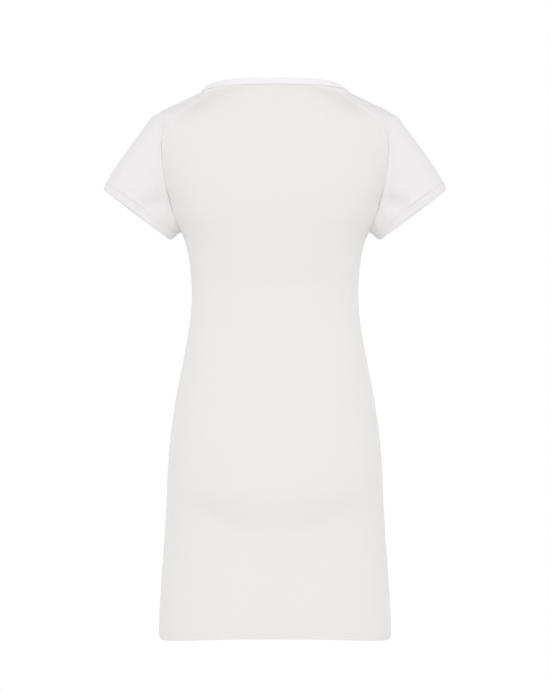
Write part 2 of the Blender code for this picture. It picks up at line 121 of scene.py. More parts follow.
RIDGE_WIDTH = 6.0 * MM   # ridge that the allowance makes beside a seam, on the panels' side
NECK_GROOVE = 1.3 * MM   # how deep the cloth dips beside the neck band
NECK_GROOVE_REACH = 1.5 * MM
CORNER_REACH = 2.5 * MM  # how much wider that dip is at the corners of the neck, and how far along
CORNER_SHARE = 0.07      # the neckline, as a share of it
LEDGE = 0.35 * MM        # dip where the allowance of the band's seam ends
LEDGE_AWAY = 5.5 * MM
LEDGE_REACH = 1.6 * MM
BAND_WIDTH = 9.6 * MM
BAND_WALL = 2.1 * MM
BAND_PROUD = 0.35 * MM
BAND_STAND = 0.70        # how much the band turns up from the slope of the cloth, at the centre

# Cells of the grids, and the distances from a seam of the columns that carry its groove and ridge
PANEL_EDGE = MM * np.array([0.0, 0.5, 1.1, 1.8, 2.5, 3.2, 4.0, 4.9, 6.0, 7.5, 9.5])
PANEL_MIDDLE = 76
SLEEVE_EDGE = MM * np.array([0.0, 0.6, 1.3, 2.2, 3.6, 5.6])
SLEEVE_MIDDLE = 24       # for each half, from a seam to the shoulder's ridge
FINE_COLUMNS = 400
SKIRT_ROWS = 150
ARM_ROWS = 48            # along a raglan seam, below the fold at the shoulder's end
SHOULDER_ROWS = 33       # above it, after those that are set by distance from the fold
FOLD_EDGE = MM * np.array([0.0, 0.8, 1.6, 2.5, 3.5, 4.6, 5.8, 7.2, 9.0, 11.5])
SLEEVE_ROWS = 44
NECK_COLUMNS = 56        # of the neck band, over a shoulder
BACK_NECK_COLUMNS = 96   # of the neck band, behind and in front

# Soft creases, from the photo behind, and like them in front. Each is a trough along a line
# whose points are across from the centre and up. How far it reaches above and below the line, and
# its depth, are in millimetres, and a depth below zero is a swell. They lie on panels and sleeves alike.
Crease = namedtuple("Crease", "points above below depth")
BACK_CREASES = [
    Crease([(0.164, -0.176), (0.182, -0.182), (0.198, -0.186), (0.212, -0.188)], 14, 16, 6.0),
    Crease([(0.126, -0.020), (0.108, -0.007), (0.092, -0.002), (0.060, 0.001)], 8, 14, 4.4),
    Crease([(0.152, -0.054), (0.132, -0.036), (0.113, -0.022), (0.096, -0.012)], 11, 11, 3.4),
    Crease([(0.070, -0.016), (0.035, -0.014), (0.0, -0.013)], 20, 28, -3.5),
    Crease([(0.1842, -0.0480), (0.1790, -0.0625), (0.1745, -0.0780)], 2.4, 2.4, 2.2),
    Crease([(0.1768, -0.0860), (0.1745, -0.0770), (0.1715, -0.0690)], 1.4, 1.4, 1.1),
    Crease([(0.1790, -0.046), (0.1750, -0.058), (0.1720, -0.074)], 7, 7, 4.0),
    Crease([(0.150, -0.632), (0.128, -0.648), (0.090, -0.668), (0.045, -0.683), (0.0, -0.6835)],
           24, 100, 6.6),
]
FRONT_CREASES = [
    Crease([(0.160, -0.160), (0.180, -0.170), (0.204, -0.178)], 12, 12, 5.0),
    Crease([(0.158, -0.098), (0.140, -0.120), (0.120, -0.134)], 13, 13, 1.8),
]
CREASE_END = 0.35        # share of a crease's depth that is left at its ends
KNIT_BUMP = 0.35         # strength of the knit in the materials
PATCH_TONE = 0.996       # colour of the darker patches, as a share of the cloth's

# Tables by the share of a seam's length, from the underarm to the neck or from the hem up, in
# millimetres: how far the cloth of sleeve and panel rounds off the corner between them, and how high
# the ridge stands beside the seam
ARMHOLE_FILL = [(0.0, 1.0), (0.2, 1.5), (0.45, 1.2), (0.58, 0.4), (0.68, 0.0)]
ARMHOLE_REACH = 6.0 * MM
RAGLAN_RIDGE = [(0.0, 0.2), (0.5, 0.4), (0.59, 2.4), (0.82, 2.3), (0.91, 1.2), (1.0, 0.7)]
SIDE_RIDGE = [(0.0, 0.5), (1.0, 0.3)]
FLAT = [(0.0, 0.0), (1.0, 0.0)]

# The camera stands where the photo's stood: level with the waist, behind the dress
CAMERA_DISTANCE = 4.0
CAMERA_Z = -0.400
LENS = 134.0
FLOOR_Z = -1.40          # where the feet of the dress's wearer would stand

LIGHT_SIZE = (5.0, 2.5)
LIGHT_POWER = 19.0
LIGHT_COLOUR = (1.0, 0.95, 0.90)

# Strength of the soft light from all round, by height: 0 straight below, 1 straight above
SKY = [(0.0, 0.32), (0.36, 0.73), (0.5, 1.06), (0.64, 1.27), (0.8, 0.92), (1.0, 0.39)]


def smooth_through(knots, values):
    """A function through the knots: cubic between two of them, and it never overshoots a value."""
    order = np.argsort(knots)
    x = np.asarray(knots, float)[order]
    y = np.asarray(values, float)[order]
    step = np.diff(x)
    slope = np.diff(y) / step
    tangent = np.zeros_like(y)
    tangent[0], tangent[-1] = slope[0], slope[-1]
    before, after = slope[:-1], slope[1:]
    same_way = before * after > 0
    weight_1 = 2 * step[1:] + step[:-1]
    weight_2 = step[1:] + 2 * step[:-1]
    mean = (weight_1 + weight_2) / (weight_1 / np.where(same_way, before, 1.0)
                                    + weight_2 / np.where(same_way, after, 1.0))
    tangent[1:-1] = np.where(same_way, mean, 0.0)

    def curve(at):
        at = np.clip(at, x[0], x[-1])
        k = np.clip(np.searchsorted(x, at, side="right") - 1, 0, len(step) - 1)
        h = step[k]
        t = (at - x[k]) / h
        return ((1 + 2 * t) * (1 - t) ** 2 * y[k] + t * (1 - t) ** 2 * h * tangent[k]
                + t ** 2 * (3 - 2 * t) * y[k + 1] + t ** 2 * (t - 1) * h * tangent[k + 1])

    return curve


HALF_WIDTH, BACK_DEPTH, FRONT_DEPTH, BACK_POWER, FRONT_POWER = (
    smooth_through(SECTIONS[:, 0], column) for column in SECTIONS.T[1:])


def on_form(angle, z):
    """The form's point at a height and at an angle round it: 0 at the left side, +90 degrees at the
    centre back. Each level section is half of one rounded box behind and half of another in front:
    |x / width|^power + |y / depth|^power = 1."""
    behind = np.sin(angle) >= 0
    power = np.where(behind, BACK_POWER(z), FRONT_POWER(z))
    depth = np.where(behind, BACK_DEPTH(z), FRONT_DEPTH(z))
    cos, sin = np.cos(angle), np.sin(angle)
    x = HALF_WIDTH(z) * np.sign(cos) * np.abs(cos) ** (2 / power)
    y = depth * np.sign(sin) * np.abs(sin) ** (2 / power)
    return np.stack([x, y, z + 0 * x], axis=-1)


def angle_at(across, z, behind):
    """The angle round the form of the point that lies this far from the centre at this height."""
    power = BACK_POWER(z) if behind else FRONT_POWER(z)
    share = np.clip(across / HALF_WIDTH(z), 0.0, 1.0)
    turn = np.arccos(share ** (power / 2))
    return turn if behind else -turn


def neckline(turn):
    """Angle and height of the neckline, by the turn round the neck from a shoulder's ridge: to +90
    degrees at the centre back and -90 at the centre front."""
    behind = np.sin(turn) >= 0
    back_z = NECK_SIDE_Z + BACK_NECK_RISE * (1 - np.cos(turn) ** 6)
    front_z = NECK_SIDE_Z - FRONT_NECK_DROP * np.abs(np.sin(turn))
    across = HALF_WIDTH(NECK_SIDE_Z) * np.abs(np.cos(turn))
    front_angle = angle_at(across, front_z, behind=False)
    front_angle = np.where(np.cos(turn) >= 0, front_angle, -np.pi - front_angle)
    return np.where(behind, turn, front_angle), np.where(behind, back_z, front_z)


def lengths_along(points, axis=0):
    """The length run so far at each point of a line, or of a grid's lines along one axis."""
    steps = np.linalg.norm(np.diff(points, axis=axis), axis=-1)
    return np.cumsum(np.insert(steps, 0, 0.0, axis=axis), axis=axis)


def raglan(table, top_turn, behind):
    """A function of a share from 0, under the arm, to 1, at the neck: angle and height of a raglan
    seam, with even steps along its length on the form."""
    top_angle, top_z = neckline(np.array(top_turn))
    low = (HALF_WIDTH(UNDERARM_Z), UNDERARM_Z)
    top = (abs(on_form(top_angle, top_z)[0]), top_z)
    points = np.array([low, *table, top], float)
    chord = lengths_along(points)
    fine = np.linspace(0, chord[-1], 1200)
    fine_z = smooth_through(chord, points[:, 1])(fine)
    fine_angle = angle_at(smooth_through(chord, points[:, 0])(fine), fine_z, behind)
    fine_angle[0], fine_angle[-1] = 0.0, float(top_angle)
    length = lengths_along(on_form(fine_angle, fine_z))
    share = length / length[-1]
    return lambda s: (np.interp(s, share, fine_angle), np.interp(s, share, fine_z))


BACK_SEAM = raglan(BACK_RAGLAN, NECK_SEAM_TURN, behind=True)
FRONT_SEAM = raglan(FRONT_RAGLAN, -NECK_SEAM_TURN, behind=False)
BACK_SEAM_LENGTH = lengths_along(on_form(*BACK_SEAM(np.linspace(0, 1, 400))))[-1]
SEAM_SHARES = np.concatenate([np.linspace(0, ARM_SHARE, ARM_ROWS + 1)[:-1],
                              ARM_SHARE + FOLD_EDGE[:-1] / BACK_SEAM_LENGTH,
                              np.linspace(ARM_SHARE + FOLD_EDGE[-1] / BACK_SEAM_LENGTH, 1,
                                          SHOULDER_ROWS + 1)])


def even_turns(columns):
    """Shares of the half turn from side to side that give columns of even width at the hip."""
    turn = np.linspace(0, np.pi, 4001)
    length = lengths_along(on_form(turn, np.full_like(turn, HIP_Z)))
    return np.interp(np.linspace(0, 1, columns + 1), length / length[-1], turn) / np.pi


def unit(vectors):
    """Vectors made one long."""
    return vectors / np.linalg.norm(vectors, axis=-1, keepdims=True)


def grid_normals(grid, closed=False):
    """Unit normals of a grid of points, by the cross product of its own steps across and up."""
    if closed:
        across = np.roll(grid, -1, axis=1) - np.roll(grid, 1, axis=1)
    else:
        across = np.gradient(grid, axis=1)
    return unit(np.cross(across, np.gradient(grid, axis=0)))


def smoothstep(low, high, value):
    """0 below low and 1 above high, with a smooth change between."""
    t = np.clip((value - low) / (high - low), 0.0, 1.0)
    return t * t * (3 - 2 * t)


def nearest_on(line, points):
    """Each point's distance from a line, and the share of the line's length at the nearest place."""
    run = lengths_along(line)
    distance = np.full(points.shape[:-1], np.inf)
    share = np.zeros(points.shape[:-1])
    for begun, start, step in zip(run, line[:-1], np.diff(line, axis=0)):
        along = np.clip((points - start) @ step / (step @ step), 0, 1)
        here = np.linalg.norm(points - start - along[..., None] * step, axis=-1)
        closer = here < distance
        distance = np.where(closer, here, distance)
        share = np.where(closer, (begun + along * np.linalg.norm(step)) / run[-1], share)
    return distance, share


def trough_relief(points, creases):
    """How far soft creases move each point along its normal. A crease follows a curve in the plane
    that the photo shows. Its trough is a bell curve across that curve, and fades at both ends."""
    relief = np.zeros(points.shape[:-1])
    flat = np.stack([np.abs(points[..., 0]), points[..., 2]], axis=-1)
    for crease in creases:
        marks = np.array(crease.points)
        above, below, depth = (MM * value for value in crease[1:])
        chord = lengths_along(marks)
        fine = np.linspace(0, chord[-1], 16)
        line = np.stack([smooth_through(chord, marks[:, k])(fine) for k in (0, 1)], axis=1)
        distance, share = nearest_on(line, flat)
        run = lengths_along(line)
        nearest_z = np.interp(share, run / run[-1], line[:, 1])
        slant = (flat[..., 1] - nearest_z) / (distance + 0.01 * MM)
        reach = below + (above - below) * smoothstep(-0.6, 0.6, slant)
        full = smoothstep(0, 0.3, share) * smoothstep(1, 0.7, share)
        fade = CREASE_END + (1 - CREASE_END) * full
        relief -= depth * fade * np.exp(-(distance / reach) ** 2)
    return relief


def crease_relief(points):
    """The creases behind and those in front, with a smooth change from one to the other at y = 0."""
    behind = smoothstep(-10 * MM, 10 * MM, points[..., 1])
    return (trough_relief(points, BACK_CREASES) * behind
            + trough_relief(points, FRONT_CREASES) * (1 - behind))


def left_side(points):
    """The points with those of the right side mirrored to the left."""
    return np.concatenate([np.abs(points[..., :1]), points[..., 1:]], axis=-1)


Seam = namedtuple("Seam", "line fill ridge")


def garment_seams():
    """The left side's seams on the form: both raglan seams and the side seam, each with its tables
    of how far the cloth fills the corner along it and how high its ridge stands."""
    raglans = [Seam(on_form(*seam(SEAM_SHARES)), ARMHOLE_FILL, RAGLAN_RIDGE)
               for seam in (BACK_SEAM, FRONT_SEAM)]
    side_z = np.linspace(SIDE_HEM_Z, UNDERARM_Z, 60)
    return [*raglans, Seam(on_form(0 * side_z, side_z), FLAT, SIDE_RIDGE)]


def table_at(share, table):
    """A table of shares and millimetres read at each share, in metres."""
    return MM * np.interp(share, *zip(*table))


def seam_relief(points, seams, ridges):
    """The relief along seams. Each has a narrow groove, in some places a rounded corner, and, where
    ridges is true, the low rounded ridge of the allowance beside it, which is a little uneven.
    Returns the relief and the distance from the nearest raglan seam."""
    side = left_side(points)
    sunk, filled, raised = (np.zeros(points.shape[:-1]) for _ in range(3))
    nearest = np.full(points.shape[:-1], np.inf)
    for seam in seams:
        distance, share = nearest_on(seam.line, side)
        groove = SEAM_GROOVE * np.exp(-(distance / GROOVE_REACH) ** 2)
        fill = table_at(share, seam.fill) * np.exp(-(distance / ARMHOLE_REACH) ** 2)
        sunk = np.minimum(sunk, -groove)
        filled = np.maximum(filled, fill)
        if ridges:
            uneven = 1 + 0.12 * np.sin(share * 173) * np.sin(share * 61 + 0.8)
            across = np.clip(distance / RIDGE_WIDTH, 0, 1) ** 0.6
            height = table_at(share, seam.ridge) * uneven * np.sin(np.pi * across) ** 1.5
            raised = np.maximum(raised, height)
        if seam.fill is ARMHOLE_FILL:
            nearest = np.minimum(nearest, distance)
    return sunk + filled + raised, nearest


def neck_relief(points):
    """The groove beside the neck band, which is wider at the corners where the raglan seams meet it,
    and a shallower one where its seam's allowance ends. Both are bell curves of the distance from the
    neckline. Returns how far other relief fades out towards the neckline, too."""
    half = np.linspace(-np.pi / 2, np.pi / 2, 61)
    line = on_form(*neckline(half))
    length = lengths_along(line)
    seam_share = np.interp(NECK_SEAM_TURN, half, length) / length[-1]
    distance, share = nearest_on(line, left_side(points))
    corner = np.exp(-((share - seam_share) / CORNER_SHARE) ** 2)
    reach = NECK_GROOVE_REACH + CORNER_REACH * corner
    groove = -NECK_GROOVE * (0.7 + 0.5 * corner) * np.exp(-(distance / reach) ** 2)
    ledge = -LEDGE * np.exp(-((distance - LEDGE_AWAY) / LEDGE_REACH) ** 2)
    return groove + ledge, smoothstep(0.3 * MM, 5 * MM, distance)


def share_normals(grids, normals):
    """One common normal for all the points of several grids that coincide, so that relief moves them
    together: the mean of their own normals."""
    points = np.concatenate([grid.reshape(-1, 3) for grid in grids])
    key = np.round(points / SAME_PLACE).astype(np.int64)
    _, same = np.unique(key, axis=0, return_inverse=True)
    same = same.ravel()
    total = np.zeros((same.max() + 1, 3))
    np.add.at(total, same, np.concatenate([normal.reshape(-1, 3) for normal in normals]))
    joined = unit(total)[same]
    ends = np.cumsum([grid[..., 0].size for grid in grids])[:-1]
    return [part.reshape(grid.shape) for part, grid in zip(np.split(joined, ends), grids)]


def hem_rows(depth, far):
    """Distances from a hem's edge for the rows near it: close at the fold and at the stitches."""
    roll = HEM_ROLL * np.array([0.0, 0.134, 0.5, 1.0])
    body = np.arange(2 * HEM_ROLL, depth - NEEDLE_GAUGE - 1.6 * MM, 1.2 * MM)
    sewing = np.arange(depth - NEEDLE_GAUGE - 1.2 * MM, depth + 2.1 * MM, 0.4 * MM)
    above = np.linspace(depth + 3 * MM, far, 5)
    return np.concatenate([roll, body, sewing, above])


def turned_hem(base, normal, near, depth):
    """A sheet whose edge is turned in. The outer layer follows the base, whose first rows are at the
    near distances from the edge, the edge is half of a circle, and the turned layer lies inside as far
    up as the upper stitches. Returns the points and the distances of the turned rows."""
    distance = np.concatenate([near, np.full(len(base) - len(near), 1.0)])
    part = np.clip(1 - distance / HEM_ROLL, 0, 1)
    bulge = HEM_ROLL * np.sqrt(1 - part ** 2)
    turned = distance < depth + 0.5 * MM
    inner = base[turned] - normal[turned] * (HEM_ROLL + bulge[turned])[:, None, None]
    outer = base - normal * (HEM_ROLL - bulge)[:, None, None]
    return np.concatenate([inner[:0:-1], outer]), distance[turned][:0:-1]


def sewing_relief(distance, depth, along, puff):
    """The relief of a sewn hem on its outer side: the doubled cloth stands out below the stitches, it
    dips along each row of them, the single cloth puffs up above them, and all of it puckers a little
    along the hem, unevenly."""
    step = HEM_STEP * (1 - smoothstep(depth - 0.4 * MM, depth + 0.8 * MM, distance))
    rows = [np.exp(-((distance - at) / DIP_REACH) ** 2) for at in (depth, depth - NEEDLE_GAUGE)]
    dips = -STITCH_DIP * (rows[0] + LOWER_DIP * rows[1])
    trough = -0.35 * puff * np.exp(-((distance - depth) / (1.6 * MM)) ** 2)
    uneven = 0.75 + 0.25 * np.sin(along * 61 + 0.4) * np.sin(along * 23 + 1.9)
    swell = uneven * puff * np.exp(-((distance - depth - PUFF_AWAY) / PUFF_REACH) ** 2)
    wave = np.sin(along * 370) * np.sin(along * 93 + 1.3) + 0.6 * np.sin(along * 151 + 0.7)
    pucker = PUCKER * wave * np.exp(-((distance - depth) / PUCKER_REACH) ** 2)
    return step + dips + trough + swell + pucker


def cells(grid, closed=False, start=0):
    """Four-sided faces of a grid, wound so that they face out."""
    rows, columns = grid.shape[:2]
    number = start + np.arange(rows * columns).reshape(rows, columns)
    if closed:
        number = np.concatenate([number, number[:, :1]], axis=1)
    faces = np.stack([number[:-1, :-1], number[:-1, 1:], number[1:, 1:], number[1:, :-1]], -1)
    return faces.reshape(-1, 4)


def piece_from(name, points, faces, weave=None):
    """A mesh object from arrays of points and four-sided faces. The weave's coordinates, in metres
    along and across the cloth, go into a UV map."""
    mesh = bpy.data.meshes.new(name)
    mesh.from_pydata(points.reshape(-1, 3), [], faces)
    if weave is not None:
        layer = mesh.uv_layers.new(name="weave")
        layer.data.foreach_set("uv", weave.reshape(-1, 2)[faces.ravel()].astype(np.float32).ravel())
    mesh.shade_smooth()
    mesh.update()
    piece = bpy.data.objects.new(name, mesh)
    bpy.context.scene.collection.objects.link(piece)
    return piece


def merged(piece):
    """The piece with its doubled points made one."""
    shape = bmesh.new()
    shape.from_mesh(piece.data)
    bmesh.ops.remove_doubles(shape, verts=shape.verts, dist=SAME_PLACE)
    bmesh.ops.dissolve_degenerate(shape, edges=shape.edges, dist=SAME_PLACE)
    shape.to_mesh(piece.data)
    shape.free()
    return piece


def thickened(piece):
    """The sheet with its thickness, which goes in from its outer side."""
    wall = piece.modifiers.new("thickness", "SOLIDIFY")
    wall.thickness = CLOTH
    wall.offset = -1
    return piece


def read_rows(angle, z, places):
    """The rows of a fine grid of angles and heights, read at the places along each row that a
    function gives for its length on the form."""
    rows = []
    for row_angle, row_z in zip(angle, z):
        length = lengths_along(on_form(row_angle, row_z))
        at = places(length[-1])
        rows.append((np.interp(at, length, row_angle), np.interp(at, length, row_z)))
    return [np.array(values) for values in zip(*rows)]


def panel_places(total):
    """Places across a panel: at fixed distances near both edges, and even between them."""
    even = np.linspace(PANEL_EDGE[-1], total - PANEL_EDGE[-1], PANEL_MIDDLE + 1)
    return np.concatenate([PANEL_EDGE[:-1], even, total - PANEL_EDGE[-2::-1]])


def panel(behind):
    """The back or the front on a fine grid, from the hem up and, seen from outside, from left to
    right. Returns the outer grid and its normals, and the distances of the lowest rows from the hem."""
    side = 1 if behind else -1
    share = even_turns(FINE_COLUMNS)
    hem_z = SIDE_HEM_Z + (BACK_HEM_RISE if behind else FRONT_HEM_RISE) * np.sin(np.pi * share) ** 2
    near = hem_rows(SKIRT_HEM, SKIRT_FINE)
    height = UNDERARM_Z - SIDE_HEM_Z
    up = np.linspace((SKIRT_FINE + 4 * MM) / height, 1, SKIRT_ROWS)
    up = np.concatenate([near / height, up])[:, None]
    edge_angle, edge_z = (BACK_SEAM if behind else FRONT_SEAM)(SEAM_SHARES)
    turn = NECK_SEAM_TURN + (np.pi - 2 * NECK_SEAM_TURN) * np.linspace(0, 1, FINE_COLUMNS + 1)
    top_angle, top_z = neckline(side * turn)
    edge = np.abs(edge_angle)[1:, None]
    top_share = (np.abs(top_angle) - edge[-1]) / (np.pi - 2 * edge[-1])
    climb = ((edge_z - UNDERARM_Z) / (edge_z[-1] - UNDERARM_Z))[1:, None]
    bodice_angle = edge + (np.pi - 2 * edge) * (share * (1 - climb) + top_share * climb)
    angle = np.concatenate([np.pi * share + 0 * up, bodice_angle])
    z = np.concatenate([hem_z + (UNDERARM_Z - hem_z) * up, UNDERARM_Z + (top_z - UNDERARM_Z) * climb])
    grid = on_form(*read_rows(side * angle, z, panel_places))
    if not behind:
        grid = grid[:, ::-1]
    return grid, grid_normals(grid), near


def dress_panel(name, base, normal, near, seams):
    """A panel as a sheet with its turned hem, its sewing and its creases. Returns its outer grid and
    normals too, and each point's distance from the nearest raglan seam."""
    across = lengths_along(base, axis=1)
    across -= across[:, -1:] / 2
    above = lengths_along(base)
    grooves, fade = neck_relief(base)
    sewn, distance = seam_relief(base, seams, ridges=True)
    relief = crease_relief(base) * fade + sewn + grooves
    relief[:len(near)] += sewing_relief(near[:, None], SKIRT_HEM, across[:len(near)], SKIRT_PUFF)
    base = base + normal * relief[..., None]
    sheet, turned = turned_hem(base, normal, near, SKIRT_HEM)
    turned_rows = slice(len(turned), 0, -1)
    weave = np.stack([np.concatenate([across[turned_rows], across]),
                      np.concatenate([-above[turned_rows], above])], axis=-1)
    return thickened(piece_from(name, sheet, cells(sheet), weave)), base, normal, distance


ARM_AXIS = np.array([CUFF_BOTTOM[1] - CUFF_TOP[1], 0.0, CUFF_TOP[0] - CUFF_BOTTOM[0]])
ARM_AXIS = -ARM_AXIS / np.linalg.norm(ARM_AXIS)    # the way in which the cuff opens, out and down


def shoulder_fold(columns):
    """The fold's angles and heights, from the back seam over the ridge to the front seam, with even
    steps in each half."""
    sides = []
    for seam, table, behind in ((BACK_SEAM, BACK_FOLD, True), (FRONT_SEAM, FRONT_FOLD, False)):
        end_angle, end_z = seam(ARM_SHARE)
        across, z = np.transpose(table)
        angle = np.concatenate([[end_angle], angle_at(across, z, behind), [0.0]])
        sides.append((angle, np.concatenate([[end_z], z, [FOLD_TOP_Z]])))
    (back_angle, back_z), (front_angle, front_z) = sides
    angle = np.concatenate([back_angle, front_angle[::-1][1:]])
    z = np.concatenate([back_z, front_z[::-1][1:]])
    length = lengths_along(on_form(angle, z))
    middle = length[len(BACK_FOLD) + 1]
    at = np.concatenate([np.linspace(0, middle, columns // 2 + 1),
                         np.linspace(middle, length[-1], columns // 2 + 1)[1:]])
    return smooth_through(length, angle)(at), smooth_through(length, z)(at)


def shoulder_places(total):
    """Places from a seam up to the shoulder's ridge: at fixed distances near the seam, then even."""
    return np.concatenate([SLEEVE_EDGE[:-1], np.linspace(SLEEVE_EDGE[-1], total, SLEEVE_MIDDLE + 1)])


def shoulder_grid():
    """The part of the left sleeve that lies on the shoulder, with rows from the back seam over the
    ridge to the front seam, from the fold up to the neckline. Its angles and heights are blended from
    those of its four edges: the mean of both ways between facing edges, less that of the corners."""
    shares = SEAM_SHARES[ARM_ROWS:]
    up = ((shares - shares[0]) / (1 - shares[0]))[:, None]
    over = np.linspace(0, 1, FINE_COLUMNS + 1)
    neck_turns = np.linspace(NECK_SEAM_TURN, -NECK_SEAM_TURN, FINE_COLUMNS + 1)
    fine = []
    edges = zip(shoulder_fold(FINE_COLUMNS), neckline(neck_turns), BACK_SEAM(shares), FRONT_SEAM(shares))
    for fold, neck, back, front in edges:
        between = (1 - up) * fold + up * neck
        across = (1 - over) * back[:, None] + over * front[:, None]
        corners = ((1 - up) * ((1 - over) * back[0] + over * front[0])
                   + up * ((1 - over) * back[-1] + over * front[-1]))
        fine.append(between + across - corners)
    angle, z = fine
    half = FINE_COLUMNS // 2
    behind = read_rows(angle[:, :half + 1], z[:, :half + 1], shoulder_places)
    before = read_rows(angle[:, :half - 1:-1], z[:, :half - 1:-1], shoulder_places)
    grid = np.concatenate([on_form(*behind), on_form(*before)[:, -2::-1]], axis=1)
    grid[:, 0], grid[:, -1] = on_form(*BACK_SEAM(shares)), on_form(*FRONT_SEAM(shares))
    return grid


def cuff_edge(round_share):
    """The left cuff's edge at shares of the way round its ellipse, from under the arm up the back,
    with its corners rounded off. Returns the points, the ways out from its middle, its turns and its
    length."""
    top, bottom = np.array(CUFF_TOP), np.array(CUFF_BOTTOM)
    middle, reach = (top + bottom) / 2, (top - bottom) / 2
    half_height = np.linalg.norm(reach)
    fine = np.linspace(0, 2 * np.pi, 1441)
    along = lengths_along(np.stack([-np.cos(fine) * half_height, CUFF_HALF_DEPTH * np.sin(fine)], 1))
    turn = np.interp(round_share, along / along[-1], fine)[:, None]
    spoke = np.concatenate([-np.cos(turn) * reach[0], np.sin(turn) * CUFF_HALF_DEPTH,
                            -np.cos(turn) * reach[1]], axis=1)
    low = np.clip(1 - half_height * (1 - np.cos(turn)) / CUFF_CORNER_LOW, 0, 1)
    high = np.clip(1 - half_height * (1 + np.cos(turn)) / CUFF_CORNER_TOP, 0, 1)
    drawn_in = (CUFF_CORNER_LOW * (1 - np.sqrt(1 - low ** 2))
                + CUFF_CORNER_TOP * (1 - np.sqrt(1 - high ** 2)))
    edge = spoke + [middle[0], 0, middle[1]] - ARM_AXIS * drawn_in
    return edge, unit(spoke), turn, along[-1]


def sleeve_grids():
    """The left sleeve on two fine grids that share the fold: the part on the shoulder, and the tube,
    a closed grid from the underarm up the back, over the fold and down the front. The tube's lines run
    straight out to the cuff, but for a swell, which is largest on the arm's upper side. Returns the
    distances of the cuff's rows from its edge and the way round the arm as well."""
    lens = shoulder_grid()
    low_back = on_form(*BACK_SEAM(SEAM_SHARES[:ARM_ROWS]))
    low_front = on_form(*FRONT_SEAM(SEAM_SHARES[:ARM_ROWS]))[::-1]
    start = np.concatenate([low_back, lens[0], low_front])
    half = ARM_ROWS + lens.shape[1] // 2
    length = lengths_along(start)
    back_share = length[:half + 1] / length[half] / 2
    front_share = 0.5 + (length[half + 1:] - length[half]) / (length[-1] - length[half]) / 2
    round_share = np.concatenate([back_share, front_share])
    cuff, away, turn, around = cuff_edge(round_share)

    reach_out = np.linalg.norm(cuff - start, axis=1)
    near = hem_rows(CUFF_HEM, CUFF_FINE)
    squeeze = np.minimum(1, 0.7 * reach_out / near[-1])
    from_edge = near[:, None] * squeeze
    inner_end = 1 - from_edge[-1] / reach_out
    rows = np.linspace(0, 1, SLEEVE_ROWS + 1)[:-1, None] ** 1.25 * inner_end
    rows = np.concatenate([rows, 1 - from_edge[::-1] / reach_out])[..., None]
    fullness = SLEEVE_FULLNESS * np.sin(turn / 2) ** 2
    tube = start + (cuff - start) * rows + away * fullness * (1 - (1 - rows) ** 2) * (1 - rows ** 8)
    return lens, tube[:, :-1], near, around * round_share[:-1]


def rounded_fold(lens, tube):
    """The two grids with the fold between them rounded: along each column that crosses it, points
    move to the mean of their neighbours again and again, most at the fold and least far from it. Then
    the tube is smoothed round the arm in the same way, below both ends of the fold."""
    columns = lens.shape[1]
    column = slice(ARM_ROWS, ARM_ROWS + columns)
    line = np.concatenate([lens[:0:-1], tube[:, column]])
    fold = len(lens) - 1
    distance = np.concatenate([lengths_along(line[fold::-1])[:0:-1], lengths_along(line[fold:])])
    across = np.linspace(-1, 1, columns)
    weight = np.exp(-(distance / FOLD_REACH) ** 2) * (1 - across ** 6)
    for _ in range(FOLD_PASSES):
        mean = (line[:-2] + line[2:]) / 2
        line[1:-1] += (mean - line[1:-1]) * 0.5 * weight[1:-1, :, None]
    lens = np.concatenate([line[fold:fold + 1], line[:fold][::-1]])
    tube = tube.copy()
    tube[:, column] = line[fold:]
    place = np.arange(tube.shape[1])
    for end in (ARM_ROWS, ARM_ROWS + columns - 1):
        inward = smoothstep(0, 0.25, np.linspace(0, 1, len(tube)))[:, None]
        weight = np.exp(-((place - end) / END_REACH) ** 2) * inward
        for _ in range(END_PASSES):
            mean = (np.roll(tube, 1, axis=1) + np.roll(tube, -1, axis=1)) / 2
            tube += (mean - tube) * 0.5 * weight[..., None]
    return lens, tube


def sleeve(name, side, grids, normals, near, around, seams):
    """A sleeve as a sheet, with its turned cuff, its sewing and its creases, from the grids of its
    shoulder and its tube. The side is 1 for the left and -1 for the right. Returns its outer grid
    round the arm and that grid's normals too."""
    reliefs = []
    for grid in grids:
        grooves, fade = neck_relief(grid)
        reliefs.append(crease_relief(grid) * fade + seam_relief(grid, seams, ridges=False)[0] + grooves)
    puff = CUFF_PUFF * smoothstep(0, 0.6, np.abs(np.sin(2 * np.pi * around / around[-1])))
    reliefs[1][-len(near):] += sewing_relief(near[::-1, None], CUFF_HEM, around, puff)
    lens, tube = (grid + normal * relief[..., None]
                  for grid, normal, relief in zip(grids, normals, reliefs))
    column = slice(ARM_ROWS, ARM_ROWS + lens.shape[1])
    base, normal = tube[::-1], normals[1][::-1]
    sheet, turned = turned_hem(base, normal, near, CUFF_HEM)
    axis = ARM_AXIS * [side, 1, 1]
    turned = np.broadcast_to(-turned[:, None], (len(turned), base.shape[1]))
    along = np.concatenate([turned, (base - base[0]) @ -axis])
    weave = np.stack([np.broadcast_to(around, sheet.shape[:2]), along], axis=-1)
    lens_weave = np.stack([np.broadcast_to(around[column], lens.shape[:2]),
                           (lens - base[0, column]) @ -axis], axis=-1)
    faces = np.concatenate([cells(sheet, closed=True), cells(lens, start=sheet[..., 0].size)])
    points = np.concatenate([sheet[:, ::-side].reshape(-1, 3), lens[:, ::-side].reshape(-1, 3)])
    uv = np.concatenate([weave[:, ::-side].reshape(-1, 2), lens_weave[:, ::-side].reshape(-1, 2)])
    return thickened(merged(piece_from(name, points, faces, uv))), base, normal


